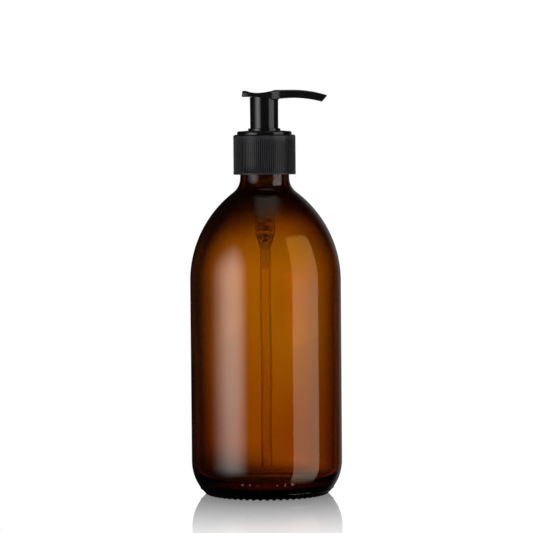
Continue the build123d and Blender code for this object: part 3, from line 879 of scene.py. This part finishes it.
def build_closure(sizes):
    """The screw closure: a turned skirt and deck with an inner thread, and ribs round it."""
    low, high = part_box("closure")
    bottom = low.z
    top = high.z
    outer = high.x
    valley = outer - sizes.rib_height
    bore = sizes.bore_radius
    band_top = bottom + sizes.band
    deck_bottom = top - sizes.deck
    hole = sizes.hole_radius + CORNER
    edge = (outer - sizes.edge_round, top - sizes.edge_round)
    foot = bottom + CORNER
    points = [(bore + CORNER, bottom), (outer - CORNER, bottom)]
    points += arc_points((outer - CORNER, foot), CORNER, -90.0, 0.0, CORNER_STEPS)[1:]
    points += arc_points((outer - CORNER, band_top - CORNER), CORNER, 0.0, 60.0, CORNER_STEPS)
    points.append((valley, band_top + CORNER))
    points += line_points(points[-1], (valley, edge[1]), SKIRT_STEPS)
    points += arc_points(edge, sizes.edge_round, 20.0, 90.0, EDGE_STEPS)
    points += line_points(points[-1], (hole, top), DECK_STEPS)
    points += arc_points((hole, top - CORNER), CORNER, 90.0, 180.0, CORNER_STEPS)
    points += [(sizes.hole_radius, deck_bottom), (bore - CORNER, deck_bottom)]
    thread_from = len(points)
    points += line_points(points[-1], (bore, foot), BORE_STEPS)
    points += arc_points((bore + CORNER, foot), CORNER, 180.0, 270.0, CORNER_STEPS)[:-1]
    pitch = bpy.context.scene.dispenser_bottle.thread_pitch
    thread = (
        bottom + CLOSURE_THREAD_START,
        pitch,
        CLOSURE_THREAD_TURNS,
        CLOSURE_THREAD_FADE,
        CLOSURE_THREAD_SHARE * pitch,
    )

    def relief(index, radius, height, angle):
        if index < thread_from or abs(radius - bore) > 2 * CORNER:
            return radius, height
        return radius - sizes.thread_depth * thread_ridge(height, angle, *thread), height

    mesh = turned_mesh("closure_skirt", points, CLOSURE_SEGMENTS, relief, loop=True)
    finish = moulded_plastic("black_satin_plastic", sizes.tint, **SATIN_BLACK)
    # Painted shade in the grooves between the ribs, lighter crests
    crest_span = (valley + GROOVE_SHARE * sizes.rib_height, outer - CREST_SHARE * sizes.rib_height)
    paint_rib_shading(finish, crest_span, sizes.painted_crest_tint)
    mesh.materials.append(finish)
    values = {
        "Rib Count": sizes.rib_count,
        "Ring Radius": valley - RIB_SINK,
        "Rib Height": sizes.rib_height,
        "Rib Width": sizes.rib_width,
        "Rib Bottom": band_top - RIB_OVERLAP,
        "Rib Top": top - RIB_TOP_SHARE * sizes.edge_round,
        "Finish": finish,
    }
    return made_by_nodes("ribbed_closure", mesh, rib_tree(), values, finish)


class DISPENSER_OT_closure(Operator):
    """Turn the screw closure and set the ribs round its skirt"""

    bl_idname = "dispenser.closure"
    bl_label = "Build Closure"

    def execute(self, context):
        piece = build_closure(context.scene.dispenser_closure)
        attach(piece, "closure")
        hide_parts("closure")
        return {"FINISHED"}


# Spring

WIRE_SIDES = 12
HALF_TURN_STEPS = 20


def spring_line(sizes, bottom, top):
    """Points of the spring's centre line, closed end turns and open turns between them."""
    radius = (sizes.spring_diameter - sizes.wire) / 2.0
    low = bottom + sizes.wire / 2.0
    high = top - sizes.wire / 2.0
    half_turns = 2 * sizes.spring_turns
    open_pitch = (high - low - 2.0 * sizes.end_pitch) / (sizes.spring_turns - 2)
    halves = [low]
    for index in range(half_turns):
        closed = index < 2 or index >= half_turns - 2
        halves.append(halves[-1] + (sizes.end_pitch if closed else open_pitch) / 2.0)
    points = []
    for step in range(HALF_TURN_STEPS * half_turns + 1):
        place = step / HALF_TURN_STEPS
        index = min(int(place), half_turns - 1)
        height = halves[index] + (halves[index + 1] - halves[index]) * (place - index)
        angle = math.pi * place
        points.append(Vector((radius * math.cos(angle), radius * math.sin(angle), height)))
    return points


def wire_mesh(name, points, radius):
    """A round wire along points, closed at both ends."""
    vertices = []
    rings = []
    last = len(points) - 1
    for index, point in enumerate(points):
        ahead = points[min(index + 1, last)] - points[max(index - 1, 0)]
        outward = Vector((point.x, point.y, 0.0)).normalized()
        upward = ahead.normalized().cross(outward).normalized()
        rings.append([index * WIRE_SIDES + step for step in range(WIRE_SIDES)])
        for step in range(WIRE_SIDES):
            angle = FULL_TURN * step / WIRE_SIDES
            place = point + radius * (math.cos(angle) * outward + math.sin(angle) * upward)
            vertices.append(tuple(place))
    return smooth_mesh(name, vertices, band_faces(rings) + [rings[0][::-1], rings[-1]])


def build_spring(sizes):
    """The steel return spring, where its solid is."""
    low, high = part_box("spring")
    points = spring_line(sizes, low.z, high.z)
    mesh = wire_mesh("return_spring", points, sizes.wire / 2.0)
    return new_piece("return_spring", mesh, bpy.data.materials["drawn_steel"]), low.z, high.z


class DISPENSER_OT_spring(Operator):
    """Wind the steel return spring"""

    bl_idname = "dispenser.spring"
    bl_label = "Build Spring"

    def execute(self, context):
        piece, seat, top = build_spring(context.scene.dispenser_pump)
        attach(piece, "pump")
        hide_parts("spring")
        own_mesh(piece)
        return {"FINISHED"}


# Head and pump

GLOSS_BLACK = {"roughness": (0.13, 0.22), "grain_depth": 0.00001, "grain": 5000.0, "gloss": 0.4}
CLEAR = {"roughness": (0.01, 0.03), "edge_shade": 0.08, "clearness": 0.97}
HAZY = {"roughness": (0.08, 0.14), "edge_shade": 0.35, "clearness": 0.91}
FOAM = {"roughness": (0.5, 0.7), "grain_depth": 0.00006, "grain": 2500.0}


class DISPENSER_OT_head(Operator):
    """Give the head and the lock collar their black gloss finish"""

    bl_idname = "dispenser.head"
    bl_label = "Finish Head"

    def execute(self, context):
        tint = context.scene.dispenser_pump.head_tint
        gloss = moulded_plastic("black_gloss_plastic", tint, **GLOSS_BLACK)
        dress_nodes(("actuator", "lock_collar"), gloss)
        return {"FINISHED"}


class DISPENSER_OT_pump(Operator):
    """Give the pump's inner pieces their plastic, foam and steel finishes"""

    bl_idname = "dispenser.pump"
    bl_label = "Finish Pump"

    def execute(self, context):
        settings = context.scene.dispenser_pump
        clear = natural_plastic("clear_plastic", settings.clear_tint, **CLEAR)
        hazy = natural_plastic("hazy_plastic", settings.hazy_tint, **HAZY)
        foam = moulded_plastic("white_gasket", settings.gasket_tint, **FOAM)
        steel = drawn_steel(settings.steel_tint)
        dress_nodes(("dip_tube",), clear)
        dress_nodes(("housing", "piston", "stem_plug", "stem"), hazy)
        dress_nodes(("gasket",), foam)
        dress_nodes(("inlet_ball",), steel)
        return {"FINISHED"}


# Stage

SENSOR_WIDTH = 36.0
FAR_CLIP = 50.0
LEFT_BOX = {"facing": -62.0, "distance": 0.9, "spans": (-0.62, 0.62, -0.5, 0.8)}
RIGHT_BOX = {"facing": 45.0, "distance": 0.8, "spans": (-0.076, 0.695, -0.8, 0.88)}
RIM_BOX = {"facing": 165.0, "distance": 1.0, "spans": (-0.55, 0.55, -0.7, 0.9)}
REAR_BOX = {"spans": (-0.5, 0.5, -0.75, 0.75)}
REAR_PLACE = (0.0, 1.15, 1.5)
TOP_BOX = {"spans": (-0.42, 0.42, -0.48, 0.48)}
TOP_PLACE = (0.07, -0.09, 1.15)
OVAL_LEFT = (0.6, 0.038)
OVAL_LEFT_POWER = 0.59
OVAL_RIGHT = (0.6, 1.05)
OVAL_TOP = (0.495, 1.0)
OVAL_FADE = (0.15, 1.0)
OVAL_FOOT = (0.0, 0.36)
OVAL_STEP = (0.28, 0.37)
OVAL_STEP_LIGHT = (0.6, 1.0)
CRISP_LEFT = (0.0, 0.02)
CRISP_RIGHT = (0.98, 1.0)
CRISP_FOOT = (0.0, 0.3)
CRISP_TOP = (0.93, 1.0)
CRISP_RISE = (0.6, 0.72)
CRISP_LIGHT = (1.0, 1.25)
CARD_RISE = (0.0, 0.35)
CARD_FALL = (0.65, 1.0)
FLOOR_HALF = 6.0
FLOOR_TINT = (0.9, 0.9, 0.9, 1.0)
MIRROR_FADE = (0.97, 0.0)
MIRROR_POWER = 1.6
SHADE_SPAN = (0.03, 0.12)
SHADE_FADE = (0.06, 0.0)


def build_camera(stage):
    """The camera at the photograph's viewing angle."""
    data = bpy.data.cameras.new("picture_camera")
    data.lens = stage.lens
    data.sensor_width = SENSOR_WIDTH
    data.clip_end = FAR_CLIP
    camera = placed("picture_camera", data)
    camera.location = (stage.camera_side, -stage.camera_distance, stage.camera_height)
    sight = Vector((stage.camera_side, 0.0, stage.aim_height)) - camera.location
    camera.rotation_mode = "QUATERNION"
    tilt = Quaternion(sight.normalized(), stage.roll)
    camera.rotation_quaternion = tilt @ sight.to_track_quat("-Z", "Y")
    bpy.context.scene.camera = camera


def build_light_box(name, radiance, shape, spans, facing=0.0, distance=1.0):
    """A light box that faces the object; shape turns its places into its brightness.

    spans are its left, right, bottom and top ends, facing is its bearing from the front in degrees.
    """
    left, right, bottom, top = spans
    data = bpy.data.lights.new(name, "AREA")
    data.shape = "RECTANGLE"
    data.size = right - left
    data.size_y = top - bottom
    data.energy = 1.0
    tree = cleared_tree(data)
    place = split(tree, add_node(tree, "ShaderNodeNewGeometry").outputs["Parametric"])
    watts = radiance * math.pi * (right - left) * (top - bottom)
    strength = times(tree, shape(tree, place["X"], place["Y"]), watts)
    glow = add_node(tree, "ShaderNodeEmission", {"Strength": strength})
    add_node(tree, "ShaderNodeOutputLight", {"Surface": glow.outputs[0]})
    box = placed(name, data)
    angle = math.radians(facing)
    outward = Vector((math.sin(angle), -math.cos(angle), 0.0))
    sideways = Vector((math.cos(angle), math.sin(angle), 0.0))
    middle = Vector((0.0, 0.0, (bottom + top) / 2.0))
    box.location = distance * outward + (left + right) / 2.0 * sideways + middle
    box.rotation_mode = "QUATERNION"
    box.rotation_quaternion = (-outward).to_track_quat("-Z", "Y")
    box.visible_camera = False
    return box


def hang_overhead(box, place):
    """Moves a light box overhead, where it shines straight down."""
    box.location = place
    box.rotation_quaternion = Quaternion()


def oval_fade(tree, across, up):
    """Brightness of the left box: a soft oval that fades at its sides, top and foot."""
    left = maths(tree, "POWER", spread(tree, across, OVAL_LEFT), OVAL_LEFT_POWER)
    right = spread(tree, across, OVAL_RIGHT)
    top = spread(tree, up, OVAL_TOP)
    reach = add_node(tree, "ShaderNodeCombineXYZ", {"X": left, "Y": right, "Z": top}).outputs[0]
    oval = eased(tree, vector_length(tree, reach), OVAL_FADE, FALLING)
    foot = times(tree, eased(tree, up, OVAL_FOOT), eased(tree, up, OVAL_STEP, OVAL_STEP_LIGHT))
    return times(tree, oval, foot)


def crisp_edge(tree, across, up):
    """Brightness of the right box: crisp edges, a faded foot and a slightly brighter top."""
    sides = window(tree, across, CRISP_LEFT, CRISP_RIGHT)
    ends = window(tree, up, CRISP_FOOT, CRISP_TOP)
    return times(tree, sides, ends, eased(tree, up, CRISP_RISE, CRISP_LIGHT))


def plain_card(tree, across, up):
    """Brightness of a plain card: even, with soft edges."""
    sides = window(tree, across, CARD_RISE, CARD_FALL)
    return times(tree, sides, window(tree, up, CARD_RISE, CARD_FALL))


def seen_directly(tree, path):
    """1 for what is seen straight, by a sharp mirror or through clear glass, else 0."""
    return maths(tree, "MAXIMUM", path["Is Camera Ray"], path["Is Singular Ray"])


def build_world(stage):
    """White behind the object, dim surroundings in reflections, soft light from all round."""
    world = bpy.data.worlds.new("white_studio")
    tree = cleared_tree(world)
    world.cycles.sampling_method = "NONE"
    path = add_node(tree, "ShaderNodeLightPath").outputs
    direction = add_node(tree, "ShaderNodeTexCoord").outputs["Generated"]
    slopes = (stage.backdrop_full, stage.backdrop_end)
    backdrop = eased(tree, split(tree, direction)["Z"], slopes, (1.0, stage.ceiling))
    level = mixed(tree, path["Is Glossy Ray"], stage.ambient, stage.studio)
    level = mixed(tree, path["Is Transmission Ray"], level, backdrop)
    level = mixed(tree, seen_directly(tree, path), level, 1.0)
    sky = add_node(tree, "ShaderNodeBackground", {"Color": WHITE, "Strength": level})
    add_node(tree, "ShaderNodeOutputWorld", {"Surface": sky.outputs[0]})
    bpy.context.scene.world = world


def floor_material(stage):
    """White floor: mirrors the object close by, keeps its shadow and runs out to plain white."""
    material = bpy.data.materials.new("white_floor")
    tree = cleared_tree(material)
    away = vector_length(tree, object_place(tree))
    near = spread(tree, away, (stage.mirror_start, stage.mirror_end), MIRROR_FADE)
    mirror = times(tree, near, maths(tree, "POWER", facing_away(tree), MIRROR_POWER))
    shade = eased(tree, away, SHADE_SPAN, SHADE_FADE)
    path = add_node(tree, "ShaderNodeLightPath").outputs
    white = maths(tree, "MAXIMUM", seen_directly(tree, path), path["Is Transmission Ray"])
    lit = add_node(tree, "ShaderNodeBsdfDiffuse", {"Color": FLOOR_TINT}).outputs[0]
    glow = add_node(tree, "ShaderNodeEmission", {"Strength": 1.0}).outputs[0]
    polish = add_node(tree, "ShaderNodeBsdfGlossy", {"Color": WHITE, "Roughness": 0.0}).outputs[0]

    def layered(factor, first, second):
        return add_node(tree, "ShaderNodeMixShader", {0: factor, 1: first, 2: second}).outputs[0]

    plain = layered(white, lit, layered(shade, glow, lit))
    add_node(tree, "ShaderNodeOutputMaterial", {"Surface": layered(mirror, plain, polish)})
    return material


class DISPENSER_OT_stage(Operator):
    """Set the camera, the five light boxes, the white surroundings and the floor"""

    bl_idname = "dispenser.stage"
    bl_label = "Set Stage"

    def execute(self, context):
        stage = context.scene.dispenser_stage
        context.scene.view_settings.view_transform = "Standard"
        build_camera(stage)
        build_world(stage)
        build_light_box("left_box", stage.left_light, oval_fade, **LEFT_BOX)
        build_light_box("right_box", stage.right_light, crisp_edge, **RIGHT_BOX)
        rear = build_light_box("rear_box", stage.rear_light, plain_card, **REAR_BOX)
        top = build_light_box("top_box", stage.top_light, plain_card, **TOP_BOX)
        rim = build_light_box("rim_box", stage.rim_light, plain_card, **RIM_BOX)
        hang_overhead(rear, REAR_PLACE)
        hang_overhead(top, TOP_PLACE)
        for box in (rear, top, rim):
            box.visible_transmission = False
        mesh = bpy.data.meshes.new("floor")
        half = FLOOR_HALF
        corners = [(-half, -half, 0), (half, -half, 0), (half, half, 0), (-half, half, 0)]
        mesh.from_pydata(corners, [], [(0, 1, 2, 3)])
        floor = new_piece("floor", mesh, floor_material(stage))
        floor.visible_glossy = False
        return {"FINISHED"}


# Add-on


class DISPENSER_PT_sidebar(Panel):
    """Lists the dispenser's operators and settings"""

    bl_idname = "DISPENSER_PT_sidebar"
    bl_label = "Soap Dispenser"
    bl_space_type = "VIEW_3D"
    bl_region_type = "UI"
    bl_category = "Dispenser"

    def draw(self, context):
        for step in STEPS:
            self.layout.operator("dispenser." + step)
        for name in SETTINGS:
            settings = getattr(context.scene, name)
            box = self.layout.box()
            for key in settings.__annotations__:
                box.prop(settings, key)


STEPS = ("bottle", "closure", "head", "pump", "spring", "stage")
SETTINGS = {
    "dispenser_bottle": BottleSettings,
    "dispenser_closure": ClosureSettings,
    "dispenser_pump": PumpSettings,
    "dispenser_stage": StageSettings,
}
CLASSES = (
    *SETTINGS.values(),
    DISPENSER_OT_bottle,
    DISPENSER_OT_closure,
    DISPENSER_OT_head,
    DISPENSER_OT_pump,
    DISPENSER_OT_spring,
    DISPENSER_OT_stage,
    DISPENSER_PT_sidebar,
)


def register():
    """Adds the settings, operators and panel."""
    for item in CLASSES:
        bpy.utils.register_class(item)
    for name, kind in SETTINGS.items():
        setattr(bpy.types.Scene, name, PointerProperty(type=kind))


def unregister():
    """Takes the settings, operators and panel away again."""
    for name in SETTINGS:
        delattr(bpy.types.Scene, name)
    for item in reversed(CLASSES):
        bpy.utils.unregister_class(item)


def main():
    """Builds every piece and the stage."""
    register()
    for step in STEPS:
        getattr(bpy.ops.dispenser, step)()


if __name__ == "__main__":
    main()
